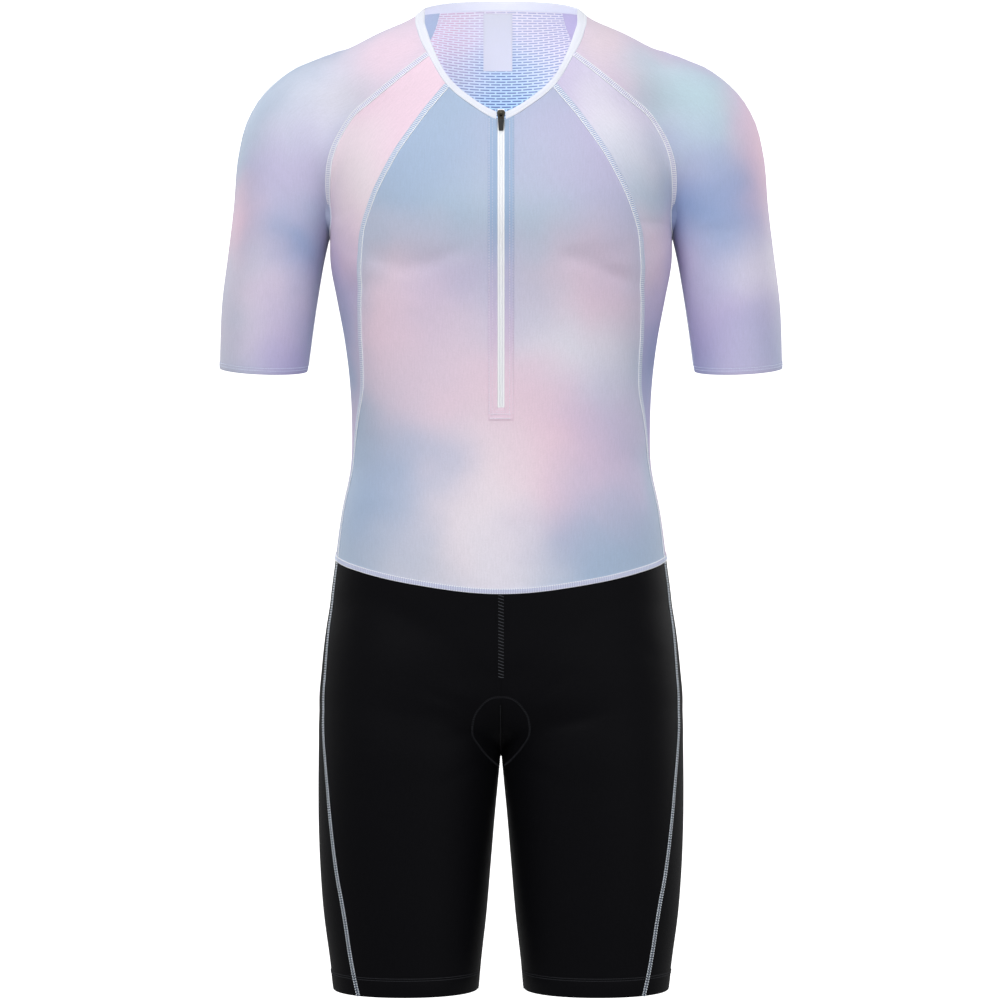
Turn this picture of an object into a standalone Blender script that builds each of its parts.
"""A cycling skinsuit, filled out as when worn, with nobody in it.

The cloth is a set of thin curved walls. They all lie on one smooth figure: an upright trunk,
two arms held a little out, and two legs. Short tables give the figure's sections. The seams
are short tables too, and every panel is a grid of points between its seams.

Lengths are in millimetres, and the meshes are scaled to metres at the end. +Z is up, the
front looks along -Y, and z = 0 is the side of the neck. "Out" is the distance from the middle.
"""
import math

import bmesh
import bpy
import numpy as np
from mathutils import Matrix

MM = 0.001
WALL = 1.5              # thickness of the cloth
SEAM = 0.15             # each cut edge stays this far from its seam line
ARMPIT = (161.0, 5.0, -203.1)   # out, depth, height of the place where four panels meet
SLOT = 11.25            # half width of the opening that the zip strip fills
SLOT_FOOT = -378.0      # height of its lower end
BAND_END = 4.1          # the neckband stops this far from the middle
BAND_LIFT = 0.5         # it stands this far proud of the figure
BAND_WALL = 2.4         # and its four layers are this thick
LEG_AXIS = 86.0         # out, of the line that the leg's angles are measured about
CROTCH_SIDE = 1.5       # points between the legs keep this far from the middle
NECK_REACH = 97.0       # depth of the front at the neckline, in the middle
PIVOT = (100.0, ARMPIT[2])      # out, height: the shoulder's section planes fan out from here
FAN = 100.0             # one radian of that fan counts as this length along the sleeve
BEYOND = 200.0          # a distance that reaches past the cloth from any middle line
SEWN = ("first", "last", "top", "foot")

# Rows and columns of the panels. Panels that share a seam share its points.
ROWS_YOKE = 10          # neckline to armpit
ROWS_CHEST = 7          # armpit to the lower end of the zip
ROWS_BELLY = 5          # from there to the waist seam
ROWS_BODY = ROWS_YOKE + ROWS_CHEST + ROWS_BELLY
ROWS_ARM = 5
ROWS_HIP = 8
ROWS_THIGH = 12
COLS_FRONT = 9
COLS_SIDE = 7
COLS_BACK = 8           # half of the back
COLS_SLEEVE = 18
LABEL_ROWS = 3          # the label in the neck reaches down this many rows of the back
LABEL_FOOT = -39.0

TRUNK = (
    # height, half width, reach to the front, reach to the back, power of the outline
    (70, 57, 38, 62, 2.0),
    (40, 58, 42, 63, 2.0),
    (22, 63, 46, 68, 2.0),
    (10, 72, 52, 73, 2.0),
    (0, 85.5, 58, 78, 2.0),
    (-15, 119, 66, 87, 2.0),
    (-30, 145, 72, 94, 2.0),
    (-50, 161, 80, 100, 2.1),
    (-90, 160, 93, 106, 2.2),
    (-140, 163, 110, 110, 2.3),
    (-185, 160, 118, 108, 2.3),
    (-230, 160, 112, 101, 2.3),
    (-263, 154, 106, 95, 2.3),
    (-300, 147, 101, 88, 2.3),
    (-340, 142, 97, 83, 2.3),
    (-381, 140, 94, 81, 2.3),
    (-420, 141, 94, 83, 2.3),
    (-460, 149, 96, 89, 2.3),
    (-509, 155.6, 97, 98, 2.3),
    (-560, 160.8, 96, 110, 2.3),
    (-610, 156, 92, 120, 2.2),
    (-646, 146, 80, 112, 2.1),
    (-667, 120, 52, 85, 2.0),
    (-680, 60, 18, 45, 2.0),
    (-686, 20, 4, 14, 2.0),
)
ARM = (
    # height, centre out, centre in depth, half width, half depth
    (-36, 165, 12, 8, 10),
    (-43, 168, 12, 23, 27),
    (-52, 170, 12, 35, 40),
    (-66, 175, 12, 46, 48),
    (-94, 186, 11, 53, 53),
    (-122, 192, 10, 54.5, 55),
    (-178, 203.4, 8, 48.4, 54),
    (-222, 211.5, 6, 45.5, 51),
    (-263, 217.5, 4, 44.5, 49),
    (-330, 223.2, 0, 41.2, 46),
    (-400, 229, -4, 38, 43),
)
LEG = (
    # height, centre out, half width, reach to the front, reach to the back
    (-530, 83, 71, 76, 86),
    (-560, 84.2, 75.8, 81, 95),
    (-600, 85, 78, 86, 104),
    (-650, 84.8, 85.7, 90, 104),
    (-685, 85.9, 85.3, 92, 98),
    (-715, 87.4, 84.1, 90, 93),
    (-745, 88.8, 82.6, 88, 88),
    (-790, 90, 80, 84, 81),
    (-840, 90.3, 76, 79, 75),
    (-885, 89.8, 70.5, 73, 68),
    (-910, 89.5, 68, 70, 65),
    (-960, 89, 62, 64, 59),
)
TRUNK_FOOT = -688.0
ARM_TOP = -37.0
LEG_TOP = -545.0
CREASES = (
    # out from, out to, height there, height there, half breadth, depth
    (52, 128, -230, -225, 9, 1.6),
    (96, 150, -243, -262, 8, 1.0),
)

NECKLINE = (
    # angle from the front, height of the seam, height of the band's free edge
    (-16, -90.5, -83.5),
    (-4.3, -102.4, -94.8),
    (0, -105, -97.5),
    (4.3, -102.4, -94.8),
    (16, -90.5, -83.5),
    (30.7, -70.5, -62.5),
    (43, -43, -34),
    (51, -27, -16.8),
    (56, -17, -9.6),
    (63, -8.5, -2.3),
    (71, -2.5, 3.9),
    (80, 1.8, 8.3),
    (100, 7, 14.5),
    (140, 14.5, 23.5),
    (180, 18, 27),
    (220, 14.5, 23.5),
)
WAIST = (
    # angle from the front, height
    (-20, -535.3),
    (0, -537.2),
    (20, -535.3),
    (36, -531),
    (51, -525.2),
    (66, -517),
    (81, -509),
    (122, -499),
    (180, -492),
    (238, -499),
)
RAGLAN_FRONT = (
    # out, height
    (98.5, -64.5),
    (120.5, -82),
    (133, -91),
    (146.5, -108.5),
    (155.5, -126.5),
    (160, -145),
    (160.8, -163),
    (159.6, -180),
    (159, -192),
)
RAGLAN_BACK = (
    # out, height
    (71, -18),
    (90, -57),
    (113, -99),
    (134, -135),
    (149, -158),
    (157, -176),
    (159.5, -190),
)
RAGLAN_ANGLES = (44.3, 124.0)   # where the two raglan seams meet the neckline
PRINCESS_ANGLE = 30.5           # and the princess seam
PRINCESS = (
    # out, height
    (69.5, -95),
    (83.3, -114),
    (95.7, -132),
    (105.8, -150),
    (115, -168),
    (122, -186),
    (127, -202),
    (129.3, -220),
    (130, -250),
    (130, -305),
    (128.5, -345),
    (135.5, -392),
    (144, -447),
)
WAIST_ANGLES = (81.0, 122.0)    # where the princess and the side seam meet the waist
SIDE_SEAM = (
    # angle from the front, height
    (101, -235),
    (108, -300),
    (114, -375),
    (119, -450),
)
LEG_SEAM = (
    # angle about the leg from its front, height
    (70.5, -560),
    (68, -600),
    (66.5, -657),
    (59, -711),
    (55, -748),
    (50, -799),
    (46, -830),
    (42.5, -885),
    (39, -910),
)
CENTRE_SEAM = (-560, -600, -626, -645, -661, -672)  # heights that the shorts' middle seam passes
CENTRE_UNDER = 22.0     # and its depth where it has turned under
CROTCH_SEARCH = 50.0    # the crotch is looked for from this far below the trunk's foot
INSEAM_TOP = -704.0
SPINE = (
    # angle of the fan, distance of the section's centre from the pivot, its depth
    (0, 107, 7),
    (30, 115, 7),
    (60, 125, 4),
    (85, 140, 0),
    (110, 152, -5),
)
CUFF = (222.0, -329.0, -0.045, 0.13)    # out, height there, rise for each mm out, and in depth
HEM = -910.0
LEVELS_PRINCESS = (-200.0, -374.0)      # the princess seam's height at the armpit and slot rows
LEVELS_SLOT = (-224.0, SLOT_FOOT)
LEVEL_SIDE = -370.0
LEVEL_LEG = -650.0                      # the leg seam's height at the crotch row


# ---- The figure -----------------------------------------------------------------------------

def column(table, which):
    """One column of a table as a smooth function of the first, which may run either way."""
    rows = np.array(sorted(table), float)
    xs, ys = rows[:, 0], rows[:, which]
    slope = np.gradient(ys, xs)

    def at(x):
        i = np.clip(np.searchsorted(xs, x) - 1, 0, len(xs) - 2)
        step = xs[i + 1] - xs[i]
        t = np.clip((x - xs[i]) / step, 0, 1)
        return ((1 + 2 * t) * (1 - t) ** 2 * ys[i] + t * (1 - t) ** 2 * step * slope[i]
                + t * t * (3 - 2 * t) * ys[i + 1] + t * t * (t - 1) * step * slope[i + 1])
    return at


trunk_half, trunk_front, trunk_back, trunk_power = [column(TRUNK, k) for k in range(1, 5)]
arm_out, arm_deep, arm_half, arm_depth = [column(ARM, k) for k in range(1, 5)]
leg_out, leg_half, leg_front, leg_back = [column(LEG, k) for k in range(1, 5)]
seam_height, band_height = [column(NECKLINE, k) for k in (1, 2)]
waist_height = column(WAIST, 1)
spine_reach, spine_deep = [column(SPINE, k) for k in (1, 2)]


def section(x, y, half, front, back, power):
    """How far a point is outside a rounded outline, roughly in millimetres."""
    depth = np.where(y < 0, front, back)
    rho = ((np.abs(x) / half) ** power + (np.abs(y) / depth) ** power) ** (1 / power)
    r = np.maximum(np.hypot(x, y), 1e-3)
    return r - r / np.maximum(rho, 1e-5)


def blend(a, b, k):
    """The union of two forms, with a fillet where they meet."""
    h = np.maximum(k - np.abs(a - b), 0) / k
    return np.minimum(a, b) - h * h * k / 4


def ramp(x, start, end):
    t = np.clip((x - start) / (end - start), 0, 1)
    return t * t * (3 - 2 * t)


def creases(x, y, z):
    """The soft troughs across the front, under the chest."""
    total = 0.0
    for start, end, z_start, z_end, breadth, depth in CREASES:
        t = (np.abs(x) - start) / (end - start)
        middle = z_start + (z_end - z_start) * t
        along = ramp(t, -0.1, 0.35) * (1 - ramp(t, 0.6, 1.1))
        total = total + depth * along * np.exp(-((z - middle) / breadth) ** 2)
    return np.where(y < 0, total, 0.0)


def figure(x, y, z):
    """Below zero inside the figure, above zero outside it, zero on the cloth's outer face."""
    x = np.abs(x)
    trunk = section(x, y, trunk_half(z), trunk_front(z), trunk_back(z), trunk_power(z))
    trunk = np.maximum(trunk, TRUNK_FOOT - z)
    arm = section(x - arm_out(z), y - arm_deep(z), arm_half(z), arm_depth(z), arm_depth(z), 2.0)
    arm = np.maximum(arm, z - ARM_TOP)
    upper = blend(trunk, arm, 3 + 31 * ramp(z, -195, -120))

    def leg(out):
        form = section(out - leg_out(z), y, leg_half(z), leg_front(z), leg_back(z), 2.1)
        return np.maximum(form, z - LEG_TOP)
    legs = blend(leg(x), leg(-x), 2)
    fillet = 3 + 29 * ramp(z, -696, -658) * (1 - ramp(z, -620, -540))
    lower = blend(trunk, legs, fillet)
    return np.where(z > -450, upper, lower) + creases(x, y, z)


def value(points):
    return figure(points[..., 0], points[..., 1], points[..., 2])


def slope_of(points):
    """The figure's gradient, by small steps to both sides."""
    step = 0.4
    grad = [value(points + step * axis) - value(points - step * axis) for axis in np.eye(3)]
    return np.stack(grad, axis=-1) / (2 * step)


def normals(points):
    grad = slope_of(points)
    return grad / np.linalg.norm(grad, axis=-1, keepdims=True)


def settle(points):
    """Points near the surface, moved onto it in steps of at most 2 mm."""
    for _ in range(12):
        grad = slope_of(points)
        size = np.linalg.norm(grad, axis=-1)
        step = np.clip(value(points) / size, -2.0, 2.0) / size
        points = points - step[..., None] * grad
    return points


def march(origin, direction, limit):
    """The first place along each ray where the figure's surface is crossed, either way."""
    steps = np.arange(0.0, limit, 1.0)
    line = origin[..., None, :] + steps[:, None] * direction[..., None, :]
    sign = np.sign(value(line))
    crossed = sign != sign[..., :1]
    high = np.where(crossed.any(axis=-1), steps[np.argmax(crossed, axis=-1)], limit)
    low = high - 1.0
    start = sign[..., 0]
    for _ in range(20):
        middle = (low + high) / 2
        same = np.sign(value(origin + middle[..., None] * direction)) == start
        low = np.where(same, middle, low)
        high = np.where(same, high, middle)
    return origin + high[..., None] * direction


def on_face(out, height, facing):
    """The cloth seen straight from the front (facing -1) or from the back (facing 1)."""
    origin = np.array([out, facing * BEYOND, height])
    return march(origin, np.array([0.0, -facing, 0.0]), BEYOND)


# ---- Charts: two numbers for each point of the cloth ------------------------------------------

def trunk_point(chart):
    """chart: angle from the front, height."""
    angle = np.radians(chart[..., 0])
    zero = np.zeros_like(angle)
    origin = np.stack([zero, zero, chart[..., 1]], axis=-1)
    return march(origin, np.stack([np.sin(angle), -np.cos(angle), zero], axis=-1), BEYOND)


def trunk_chart(points):
    angle = np.degrees(np.arctan2(points[..., 0], -points[..., 1])) % 360
    return np.stack([angle, points[..., 2]], axis=-1)


def leg_point(chart):
    """chart: angle about the leg from its front, over the outside, then height."""
    angle = np.radians(chart[..., 0])
    zero = np.zeros_like(angle)
    origin = np.stack([zero + LEG_AXIS, zero, chart[..., 1]], axis=-1)
    points = march(origin, np.stack([np.sin(angle), -np.cos(angle), zero], axis=-1), BEYOND)
    across = points[..., 0] < CROTCH_SIDE
    share = (LEG_AXIS - CROTCH_SIDE) / np.maximum(LEG_AXIS - points[..., 0], 1.0)
    short = origin + share[..., None] * (points - origin)
    return settle(np.where(across[..., None], short, points))


def leg_chart(points, lowest):
    """The angle lies between lowest and lowest + 360."""
    angle = np.degrees(np.arctan2(points[..., 0] - LEG_AXIS, -points[..., 1]))
    angle = (angle - lowest) % 360 + lowest
    return np.stack([angle, points[..., 2]], axis=-1)


def sleeve_frame(along):
    """The centre of a sleeve section and the direction in its plane that points outward."""
    fan = np.maximum(along, 0) / FAN
    degrees = np.degrees(fan)
    height = PIVOT[1] + np.minimum(along, 0)
    reach = np.where(along > 0, spine_reach(degrees), arm_out(height) - PIVOT[0])
    depth = np.where(along > 0, spine_deep(degrees), arm_deep(height))
    outward = np.stack([np.cos(fan), 0 * fan, np.sin(fan)], axis=-1)
    centre = np.stack([PIVOT[0] + 0 * fan, depth, height], axis=-1) + reach[..., None] * outward
    return centre, outward


def sleeve_point(chart):
    """chart: length along the sleeve from the armpit up, angle round it from the outside."""
    centre, outward = sleeve_frame(chart[..., 0])
    turn = np.radians(chart[..., 1])[..., None]
    forward = np.array([0.0, -1.0, 0.0])
    return march(centre, np.cos(turn) * outward + np.sin(turn) * forward, BEYOND)


def sleeve_chart(points):
    out = points[..., 0] - PIVOT[0]
    height = points[..., 2] - PIVOT[1]
    along = np.where(height > 0, np.arctan2(height, out) * FAN, height)
    centre, outward = sleeve_frame(along)
    arm = points - centre
    turn = np.degrees(np.arctan2(-arm[..., 1], (arm * outward).sum(axis=-1)))
    return np.stack([along, turn], axis=-1)


# ---- Seams ------------------------------------------------------------------------------------

def smooth(points, counts, levels=()):
    """A seam through some points, cut into rows, with a row at each of the given heights."""
    points = np.array(points, float)
    lengths = np.linalg.norm(np.diff(points, axis=0), axis=1)
    travel = np.concatenate([[0.0], np.cumsum(lengths)])
    axes = [column(list(zip(travel, points[:, k])), 1) for k in range(3)]
    stops = [0.0]
    for level in levels:
        fine = np.linspace(0, travel[-1], 2001)
        stops.append(fine[np.argmax(axes[2](fine) <= level)])
    stops.append(travel[-1])
    rows = [np.linspace(a, b, n + 1)[1:] for a, b, n in zip(stops, stops[1:], counts)]
    where = np.concatenate([[0.0]] + rows)
    seam = np.stack([axis(where) for axis in axes], axis=-1)
    seam[1:-1] = settle(seam[1:-1])
    return seam


def neck_point(angle):
    return trunk_point(np.array([angle, seam_height(angle)]))


def waist_point(angle):
    return trunk_point(np.array([angle, waist_height(angle)]))


def by_angle(table, point):
    return [point(np.array(row, float)) for row in table]


def raglan(angle, table, facing):
    points = [on_face(out, height, facing) for out, height in table]
    return smooth([neck_point(angle)] + points + [np.array(ARMPIT)], [ROWS_YOKE])


def princess():
    points = [on_face(out, height, -1) for out, height in PRINCESS]
    points = [neck_point(PRINCESS_ANGLE)] + points + [waist_point(WAIST_ANGLES[0])]
    return smooth(points, [ROWS_YOKE, ROWS_CHEST, ROWS_BELLY], LEVELS_PRINCESS)


def side_seam():
    points = by_angle(SIDE_SEAM, trunk_point)
    points = [np.array(ARMPIT)] + points + [waist_point(WAIST_ANGLES[1])]
    return smooth(points, [ROWS_CHEST, ROWS_BELLY], [LEVEL_SIDE])


def front_angle(out):
    """The angle of a place on the front that lies this far from the middle."""
    return math.degrees(math.asin(abs(out) / NECK_REACH))


def upright(out):
    """A line down the front at one distance from the middle, from the neckline to the waist."""
    top = seam_height(front_angle(out))
    foot = waist_height(front_angle(out))
    points = [on_face(out, height, -1) for height in np.linspace(top, foot, ROWS_BODY + 2)]
    return smooth(points, [ROWS_YOKE, ROWS_CHEST, ROWS_BELLY], LEVELS_SLOT)


def centre_seam(facing):
    """The shorts' middle seam, from the waist down to the crotch, in the plane x = 0."""
    top = waist_point(0.0 if facing < 0 else 180.0)
    points = [on_face(0.0, height, facing) for height in CENTRE_SEAM]
    for depth in (facing * CENTRE_UNDER, 0.0):
        below = np.array([0.0, depth, TRUNK_FOOT - CROTCH_SEARCH])
        points.append(march(below, np.array([0.0, 0.0, 1.0]), 2 * CROTCH_SEARCH))
    seam = smooth([top] + points, [ROWS_HIP])
    seam[:, 0] = 0.0
    return seam


def leg_seam():
    points = [waist_point(WAIST_ANGLES[0])] + by_angle(LEG_SEAM, leg_point)
    return smooth(points, [ROWS_HIP, ROWS_THIGH], [LEVEL_LEG])


def inseam(crotch):
    heights = np.linspace(INSEAM_TOP, HEM, 8)
    points = [leg_point(np.array([-90.0, height])) for height in heights]
    return smooth([crotch] + points, [ROWS_THIGH])


# ---- Panels -------------------------------------------------------------------------------------

def patch(first, last, top, foot, point):
    """A grid of points between four seams. first and last run down, top and foot across.

    The seams come as chart coordinates. Points inside are found on the surface by point().
    """
    rows, cols = len(first) - 1, len(top) - 1
    u = np.linspace(0, 1, cols + 1)[None, :, None]
    v = np.linspace(0, 1, rows + 1)[:, None, None]
    corners = ((1 - u) * (1 - v) * top[0] + u * (1 - v) * top[-1]
               + (1 - u) * v * foot[0] + u * v * foot[-1])
    chart = ((1 - u) * first[:, None] + u * last[:, None]
             + (1 - v) * top[None] + v * foot[None] - corners)
    return point(chart)


def neck_row(start, end, cols):
    angles = np.linspace(start, end, cols + 1)
    return trunk_point(np.stack([angles, seam_height(angles)], axis=-1))


def waist_row(start, end, cols):
    angles = np.linspace(start, end, cols + 1)
    return trunk_point(np.stack([angles, waist_height(angles)], axis=-1))


def edged(grid, first, last, top=None, foot=None):
    """The grid with its edges set to the seams' own points."""
    grid[:, 0] = first
    grid[:, -1] = last
    if top is not None:
        grid[0] = top
    if foot is not None:
        grid[-1] = foot
    return grid


def mirrored(half):
    """A half grid whose first column lies in the middle, and its mirror image, as one grid."""
    return np.concatenate([half[:, :0:-1] * [-1, 1, 1], half], axis=1)


def front_half(seams):
    slot, middle, outer = seams["slot"], seams["middle"], seams["princess"]
    angles = trunk_chart(np.stack([slot[0], slot[-1]]))[:, 0]
    top = neck_row(angles[0], PRINCESS_ANGLE, COLS_FRONT)
    foot = waist_row(angles[1], WAIST_ANGLES[0], COLS_FRONT)
    grid = patch(trunk_chart(slot), trunk_chart(outer), trunk_chart(top), trunk_chart(foot),
                 trunk_point)
    grid = edged(grid, slot, outer, top, foot)
    return np.concatenate([middle[:, None], grid], axis=1)


def side_grid(seams):
    inner = seams["princess"]
    outer = np.concatenate([seams["raglan_front"], seams["side"][1:]])
    top = neck_row(PRINCESS_ANGLE, RAGLAN_ANGLES[0], COLS_SIDE)
    foot = waist_row(WAIST_ANGLES[0], WAIST_ANGLES[1], COLS_SIDE)
    grid = patch(trunk_chart(inner), trunk_chart(outer), trunk_chart(top), trunk_chart(foot),
                 trunk_point)
    return edged(grid, inner, outer, top, foot)


def back_half(seams):
    outer = np.concatenate([seams["raglan_back"], seams["side"][1:]])
    top = neck_row(180.0, RAGLAN_ANGLES[1], COLS_BACK)
    foot = waist_row(180.0, WAIST_ANGLES[1], COLS_BACK)
    stops = (top[0, 2], LABEL_FOOT, foot[0, 2])
    heights = np.interp(range(ROWS_BODY + 1), (0, LABEL_ROWS, ROWS_BODY), stops)
    middle = np.stack([np.full(ROWS_BODY + 1, 180.0), heights], axis=-1)
    grid = patch(middle, trunk_chart(outer), trunk_chart(top), trunk_chart(foot), trunk_point)
    return edged(grid, grid[:, 0].copy(), outer, top, foot)


def cuff_row(turns):
    """The sleeve's lower edge: a tilted plane across the arm."""
    out, height, rise_out, rise_deep = CUFF
    along = np.full_like(turns, height - PIVOT[1])
    for _ in range(6):
        points = sleeve_point(np.stack([along, turns], axis=-1))
        level = height + rise_out * (out - points[:, 0]) + rise_deep * points[:, 1]
        along = level - PIVOT[1]
    return points


def sleeve_grid(seams):
    """From the front raglan seam over the shoulder to the back one, then down to the cuff."""
    front, back = seams["raglan_front"], seams["raglan_back"]
    top = neck_row(RAGLAN_ANGLES[0], RAGLAN_ANGLES[1], COLS_SLEEVE)
    turns = np.linspace(180.0, -180.0, COLS_SLEEVE + 1)
    crown_foot = sleeve_point(np.stack([0 * turns, turns], axis=-1))
    first, last = sleeve_chart(front), sleeve_chart(back)
    first[-1] = (0.0, 180.0)
    last[-1] = (0.0, -180.0)
    foot_chart = np.stack([0 * turns, turns], axis=-1)
    crown = patch(first, last, sleeve_chart(top), foot_chart, sleeve_point)
    crown = edged(crown, front, back, top)
    crown[-1, 1:-1] = crown_foot[1:-1]
    cuff = sleeve_chart(cuff_row(turns))
    cuff[0, 1], cuff[-1, 1] = 180.0, -180.0
    share = np.linspace(0, 1, ROWS_ARM + 1)[:, None, None]
    arm = sleeve_point(foot_chart[None] * (1 - share) + cuff[None] * share)
    arm[:, -1] = arm[:, 0]
    arm[0] = crown[-1]
    return np.concatenate([crown, arm[1:]])


def leg_grid(top, inner, outer, lowest):
    """A leg panel from the outer seam to the middle and the inseam, waist to hem."""
    foot_turns = np.linspace(leg_chart(outer[-1], lowest)[0], leg_chart(inner[-1], lowest)[0],
                             len(top))
    foot = np.stack([foot_turns, np.full(len(top), HEM)], axis=-1)
    grid = patch(leg_chart(outer, lowest), leg_chart(inner, lowest), leg_chart(top, lowest), foot,
                 leg_point)
    return edged(grid, outer, inner, top)


def neckband_half(tops):
    """The binding, from its end beside the zip to the middle of the back."""
    angles = np.concatenate([[front_angle(BAND_END)], trunk_chart(tops)[:, 0]])
    rows = [seam_height(angles) * (1 - t) + band_height(angles) * t for t in (0.0, 0.5, 1.0)]
    chart = np.stack([np.stack([angles, row], axis=-1) for row in rows])
    return trunk_point(chart)


# ---- Solids -------------------------------------------------------------------------------------

def edge_step(edge, inside):
    """How to move an edge's points a seam gap into their own panel, square to the edge."""
    along = np.gradient(edge, axis=0)
    along = along / np.linalg.norm(along, axis=1, keepdims=True)
    step = inside - edge
    step = step - (step * along).sum(axis=1, keepdims=True) * along
    return SEAM * step / np.linalg.norm(step, axis=1, keepdims=True)


def trimmed(grid, edges):
    """The grid with the named edges moved off their seams."""
    result = grid.copy()
    if "first" in edges:
        result[:, 0] += edge_step(grid[:, 0], grid[:, 1])
    if "last" in edges:
        result[:, -1] += edge_step(grid[:, -1], grid[:, -2])
    if "top" in edges:
        result[0] += edge_step(grid[0], grid[1])
    if "foot" in edges:
        result[-1] += edge_step(grid[-1], grid[-2])
    return result


def shell(name, outer, inner, finish, holes=None):
    """A closed wall between two grids of points. Cells that holes marks are left out."""
    rows, cols = outer.shape[0] - 1, outer.shape[1] - 1
    kept = np.ones((rows, cols), bool) if holes is None else ~holes
    mesh = bmesh.new()
    verts = {}

    def vert(face, i, j):
        key = (face, i, j)
        if key not in verts:
            verts[key] = mesh.verts.new((outer, inner)[face][i, j] * MM)
        return verts[key]

    def quad(a, b, c, d):
        if (a.co - c.co).length <= (b.co - d.co).length:
            mesh.faces.new((a, b, c))
            mesh.faces.new((a, c, d))
        else:
            mesh.faces.new((a, b, d))
            mesh.faces.new((b, c, d))

    def cell(i, j):
        return 0 <= i < rows and 0 <= j < cols and kept[i, j]

    for i in range(rows):
        for j in range(cols):
            if not kept[i, j]:
                continue
            quad(*[vert(0, *p) for p in ((i, j), (i + 1, j), (i + 1, j + 1), (i, j + 1))])
            quad(*[vert(1, *p) for p in ((i, j + 1), (i + 1, j + 1), (i + 1, j), (i, j))])
            sides = (((i - 1, j), (i, j), (i, j + 1)), ((i + 1, j), (i + 1, j + 1), (i + 1, j)),
                     ((i, j - 1), (i + 1, j), (i, j)), ((i, j + 1), (i, j + 1), (i + 1, j + 1)))
            for beyond, a, b in sides:
                if not cell(*beyond):
                    quad(vert(0, *a), vert(0, *b), vert(1, *b), vert(1, *a))
    if mesh.calc_volume(signed=True) < 0:      # a mirrored grid comes out inside out
        bmesh.ops.reverse_faces(mesh, faces=mesh.faces)
    return finished(name, mesh, finish)


def finished(name, mesh, finish):
    data = bpy.data.meshes.new(name)
    mesh.to_mesh(data)
    mesh.free()
    data.materials.append(finish)
    data.shade_smooth()
    data.set_sharp_from_angle(angle=math.radians(40))
    thing = bpy.data.objects.new(name, data)
    bpy.context.collection.objects.link(thing)
    return thing


def cloth(name, grid, edges, finish, holes=None, lift=0.0, wall=WALL):
    """A panel: the grid's outer face, lifted off the figure if asked, and a wall inward."""
    grid = trimmed(grid, edges)
    facing = normals(grid)
    outer = grid + lift * facing
    return shell(name, outer, outer - wall * facing, finish, holes)


def front_panel(half, finish):
    """The front with its slot, whose edges also keep their distance from the zip strip."""
    slot_rows = ROWS_YOKE + ROWS_CHEST
    holes = np.zeros((ROWS_BODY, 2 * (COLS_FRONT + 1)), bool)
    holes[:slot_rows, COLS_FRONT:COLS_FRONT + 2] = True
    grid = trimmed(mirrored(half), SEWN)
    grid[:slot_rows + 1, COLS_FRONT, 0] -= SEAM
    grid[:slot_rows + 1, COLS_FRONT + 2, 0] += SEAM
    return shell("front_panel", grid, grid - WALL * normals(grid), finish, holes)


def material(name, colour, roughness, metallic=0.0):
    made = bpy.data.materials.new(name)
    made.use_nodes = True
    shader = made.node_tree.nodes["Principled BSDF"]
    shader.inputs["Base Color"].default_value = (*colour, 1.0)
    shader.inputs["Roughness"].default_value = roughness
    shader.inputs["Metallic"].default_value = metallic
    made.diffuse_color = (*colour, 1.0)
    return made


# ---- The zip --------------------------------------------------------------------------------------

COIL_HALF = 2.95
COIL_TOP = -94.0
COIL_FOOT = -366.7
COIL_LIFT = 0.2             # how far the coil stands off the figure
STRIP_INNER = 3.25          # half width of the gap in the strip that frames the zip
STRIP_LIFT = 0.4
ROWS_STRIP = 13
SLIDER_HEIGHT = -99.5       # height of the slider's middle
SLIDER = (3.7, 2.7, 8.0, 1.8)   # half width above, half width below, length, thickness
SLIDER_LIFT = 0.5
CROWN = (1.6, 4.4, 2.8)     # width, length and height of the bridge that holds the pull
CROWN_HOLE = (3.0, 2.1)     # length and height of the hole through it
CROWN_ROOT = 0.6            # depth of its feet in the slider's plate
CROWN_BEVEL = 0.6
CORNER = 1.6                # radius of the plate's corners
PULL = (2.3, 2.9, 2.2, 16.5)    # half width at the bar, at the shoulder and tip, and length
PULL_BAR = 0.9              # height of the bar that passes through the crown
PULL_FRAME = 1.6            # height of the solid stretch below the window
PULL_TIP = (0.7, 0.9)       # cut off each lower corner: sideways, upward
PULL_WINDOW = (1.25, 3.2)   # half width and length of the window below the bar
PULL_THICK = 1.0
PULL_LEAN = 6.0             # degrees that the hanging pull leans in to the cloth


def strip_grid(outs, tops, foot, rows):
    grid = [[on_face(out, top + (foot - top) * i / rows, -1) for out, top in zip(outs, tops)]
            for i in range(rows + 1)]
    return np.array(grid)


def zip_strip(finish):
    """The facing that frames the zip, with its closed lower end."""
    half = (STRIP_INNER, (STRIP_INNER + SLOT) / 2, SLOT - SEAM)
    outs = [-out for out in half[::-1]] + list(half)
    tops = [seam_height(front_angle(out)) - SEAM for out in outs]
    grid = strip_grid(outs, tops, COIL_FOOT - 2 * SEAM, ROWS_STRIP)
    box = strip_grid(outs, [SLOT_FOOT + SEAM] * len(outs), SLOT_FOOT + SEAM, 1)[:1]
    grid = np.concatenate([grid, box])
    holes = np.zeros((ROWS_STRIP + 1, len(outs) - 1), bool)
    holes[:ROWS_STRIP, len(half) - 1] = True
    return cloth("zip_placket", grid, (), finish, holes, lift=STRIP_LIFT)


def zip_coil(finish):
    outs = (-COIL_HALF, 0.0, COIL_HALF)
    grid = strip_grid(outs, [COIL_TOP] * len(outs), COIL_FOOT, ROWS_STRIP)
    return cloth("zip_coil", grid, (), finish, lift=COIL_LIFT)


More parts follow.
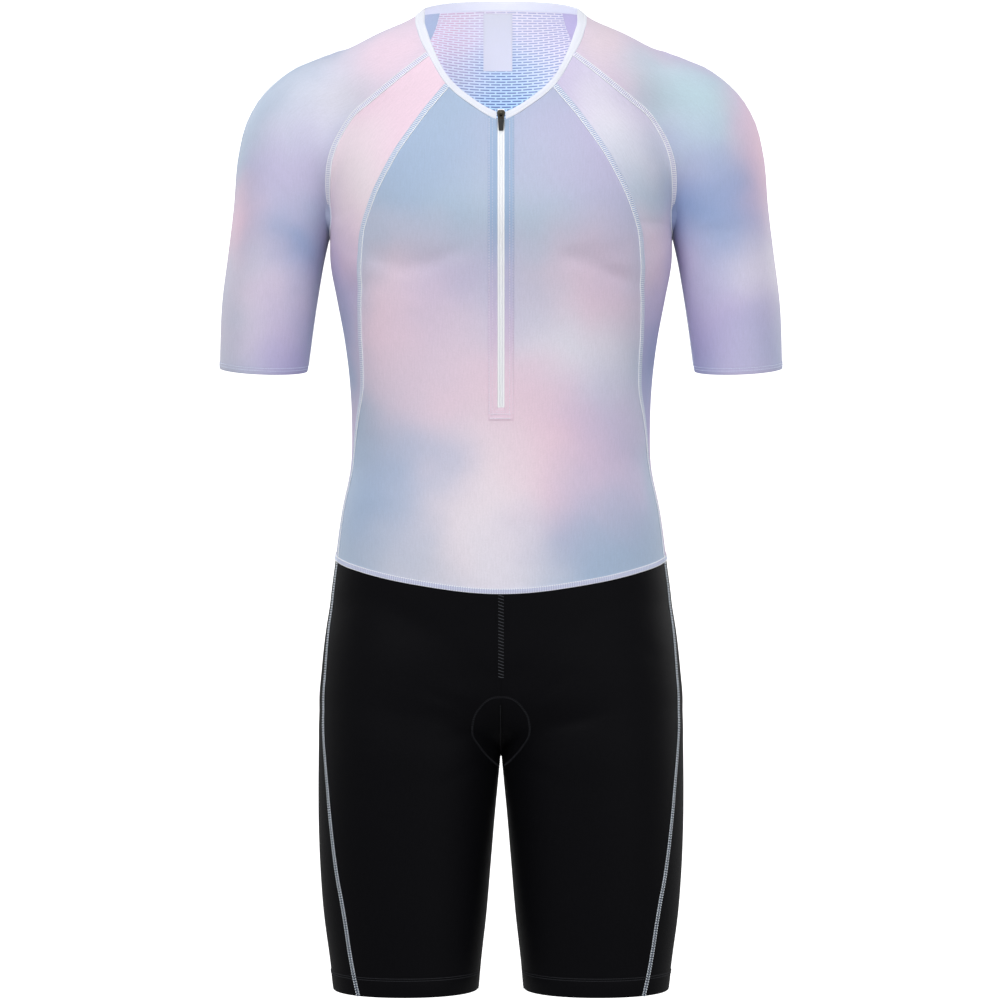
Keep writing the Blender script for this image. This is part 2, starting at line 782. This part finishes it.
def prism(outline, thickness):
    """A plate in the XZ plane from an outline, its back face at y = 0, towards -Y."""
    mesh = bmesh.new()
    verts = [mesh.verts.new((x * MM, 0.0, z * MM)) for x, z in outline]
    face = mesh.faces.new(verts)
    moved = bmesh.ops.extrude_face_region(mesh, geom=[face])["geom"]
    moved = [item for item in moved if isinstance(item, bmesh.types.BMVert)]
    bmesh.ops.translate(mesh, verts=moved, vec=(0.0, -thickness * MM, 0.0))
    bmesh.ops.recalc_face_normals(mesh, faces=mesh.faces)
    return mesh


def rounded(corners, radius, steps=3):
    """An outline through some corners, each cut by an arc-like run of points."""
    count = len(corners)
    outline = []
    for k in range(count):
        before, here, after = (np.array(corners[(k + d) % count], float) for d in (-1, 0, 1))
        start = here + radius * (before - here) / np.linalg.norm(before - here)
        end = here + radius * (after - here) / np.linalg.norm(after - here)
        for t in np.linspace(0, 1, steps):
            outline.append(tuple((1 - t) ** 2 * start + 2 * t * (1 - t) * here + t * t * end))
    return outline


def cloth_frame(height):
    """A place on the zip's line: a matrix with -Y along the cloth's normal and Z up it."""
    point = on_face(0.0, height, -1)
    out = normals(point)
    tilt = math.atan2(out[2], -out[1])
    return Matrix.Translation(point * MM) @ Matrix.Rotation(-tilt, 4, "X")


def slider(finish):
    wide, narrow, length, thick = SLIDER
    corners = [(-wide, length / 2), (-narrow, -length / 2), (narrow, -length / 2), (wide, length / 2)]
    body = finished("zip_slider", prism(rounded(corners, CORNER), thick), finish)
    width, crown_length, crown_height = CROWN
    hole_length, hole_height = CROWN_HOLE
    half, bevelled = crown_length / 2, crown_length / 2 - CROWN_BEVEL
    hole, hole_top = hole_length / 2, hole_length / 2 - CROWN_BEVEL / 2
    profile = [(-CROWN_ROOT, -half), (crown_height, -bevelled), (crown_height, bevelled),
               (-CROWN_ROOT, half), (-CROWN_ROOT, hole), (hole_height, hole_top),
               (hole_height, -hole_top), (-CROWN_ROOT, -hole)]
    mesh = bmesh.new()
    ring = [mesh.verts.new((-width / 2 * MM, -(thick + w) * MM, z * MM)) for w, z in profile]
    other = [mesh.verts.new((width / 2 * MM, -(thick + w) * MM, z * MM)) for w, z in profile]
    quads = ((0, 1, 6, 7), (1, 2, 5, 6), (2, 3, 4, 5))
    for a, b, c, d in quads:
        mesh.faces.new([ring[k] for k in (a, b, c, d)])
        mesh.faces.new([other[k] for k in (d, c, b, a)])
    for k in range(8):
        n = (k + 1) % 8
        mesh.faces.new([ring[n], ring[k], other[k], other[n]])
    bmesh.ops.recalc_face_normals(mesh, faces=mesh.faces)
    crown = finished("zip_crown_cutter", mesh, finish)
    crown.hide_render = True
    crown.display_type = "WIRE"
    join = body.modifiers.new("crown", "BOOLEAN")
    join.operation = "UNION"
    join.object = crown
    frame = cloth_frame(SLIDER_HEIGHT) @ Matrix.Translation((0, -SLIDER_LIFT * MM, 0))
    body.matrix_world = frame
    crown.matrix_world = frame
    return body


def pull(finish):
    """The tab. Its origin lies on the hinge line, in the middle of the bar."""
    at_bar, at_shoulder, at_tip, length = PULL
    window_half, window = PULL_WINDOW
    half_bar = PULL_BAR / 2
    cut, rise = PULL_TIP
    heights = (half_bar, -half_bar, -window, -window - PULL_FRAME, rise - length, -length)
    halves = (at_bar, at_bar, at_bar, at_shoulder, at_tip, at_tip - cut)
    outer = np.array([[(x, -PULL_THICK / 2, z) for x in (-h, -window_half, window_half, h)]
                      for h, z in zip(halves, heights)])
    inner = outer + np.array([0.0, PULL_THICK, 0.0])
    holes = np.zeros((len(heights) - 1, 3), bool)
    holes[1, 1] = True      # the window
    tab = shell("zip_pull", outer, inner, finish, holes)
    _, _, _, thick = SLIDER
    bar = Matrix.Translation((0, -(SLIDER_LIFT + thick + CROWN_HOLE[1] / 2) * MM, 0))
    lean = Matrix.Rotation(math.radians(PULL_LEAN), 4, "X")
    tab.matrix_world = cloth_frame(SLIDER_HEIGHT) @ bar @ lean
    return tab


# ---- The label in the neck ---------------------------------------------------------------------

LABEL_HALF = 16.0
LABEL_COLS = 4
LABEL_TOP = 0.2                 # it starts this share of a row below the neckline
LABEL_WALL = 1.0
LABEL_GAP = 0.4


def neck_label(back, finish):
    """A plain patch on the inner face of the back, between its own rows of points."""
    facing = normals(back)
    inner = back - (WALL + LABEL_GAP) * facing
    first = inner[0] * (1 - LABEL_TOP) + inner[1] * LABEL_TOP
    rows = [first] + [inner[k] for k in range(1, LABEL_ROWS + 1)]
    outs = np.linspace(-LABEL_HALF, LABEL_HALF, LABEL_COLS + 1)
    outer = []
    for row in rows:
        row = row[np.argsort(row[:, 0])]
        outer.append(np.stack([outs, np.interp(outs, row[:, 0], row[:, 1]),
                               np.interp(outs, row[:, 0], row[:, 2])], axis=-1))
    outer = np.array(outer)
    return shell("neck_label", outer, outer - LABEL_WALL * normals(outer), finish)


# ---- All of it ------------------------------------------------------------------------------------

def find_seams():
    front = raglan(RAGLAN_ANGLES[0], RAGLAN_FRONT, -1)
    back = raglan(RAGLAN_ANGLES[1], RAGLAN_BACK, 1)
    return {"raglan_front": front, "raglan_back": back, "princess": princess(),
            "side": side_seam(), "slot": upright(SLOT), "middle": upright(0.0)}


def main():
    for thing in list(bpy.data.objects):
        bpy.data.objects.remove(thing)
    print_front = material("print_front", (0.56, 0.64, 0.80), 0.6)
    print_side = material("print_side", (0.74, 0.62, 0.74), 0.6)
    print_sleeve = material("print_sleeve", (0.62, 0.62, 0.74), 0.6)
    mesh_back = material("mesh_back", (0.80, 0.82, 0.88), 0.7)
    black_knit = material("black_knit", (0.02, 0.02, 0.022), 0.55)
    binding = material("binding", (0.86, 0.87, 0.90), 0.6)
    white_tape = material("white_tape", (0.90, 0.90, 0.90), 0.5)
    black_metal = material("black_metal", (0.03, 0.03, 0.035), 0.35, 0.6)

    seams = find_seams()
    front = front_half(seams)
    side = side_grid(seams)
    back = back_half(seams)
    sleeve = sleeve_grid(seams)

    front_panel(front, print_front)
    whole_back = mirrored(back)
    cloth("back_panel", whole_back, SEWN, mesh_back)

    inner_front, inner_back = centre_seam(-1), centre_seam(1)
    outer_leg = leg_seam()
    inner_leg = inseam(inner_front[-1])
    leg_front_grid = leg_grid(front[-1, ::-1], np.concatenate([inner_front, inner_leg[1:]]),
                              outer_leg, -180.0)
    back_top = np.concatenate([side[-1], back[-1, -2::-1]])
    leg_back_grid = leg_grid(back_top, np.concatenate([inner_back, inner_leg[1:]]), outer_leg, 0.0)

    for name, sign in (("left", 1), ("right", -1)):
        flip = np.array([sign, 1, 1])
        cloth("side_panel_" + name, side * flip, SEWN, print_side)
        cloth("sleeve_" + name, sleeve * flip, SEWN[:3], print_sleeve)
        cloth("leg_front_" + name, leg_front_grid * flip, SEWN[:3], black_knit)
        cloth("leg_back_" + name, leg_back_grid * flip, SEWN[:3], black_knit)

    tops = np.concatenate([front[0, 1:], side[0, 1:], sleeve[0, 1:], back[0, -2::-1]])
    band = neckband_half(tops)
    band = np.concatenate([band, band[:, -2::-1] * [-1, 1, 1]], axis=1)
    cloth("neckband", band, ("top",), binding, lift=BAND_LIFT, wall=BAND_WALL)
    zip_strip(print_front)
    zip_coil(white_tape)
    slider(black_metal)
    pull(black_metal)
    neck_label(whole_back, white_tape)


main()
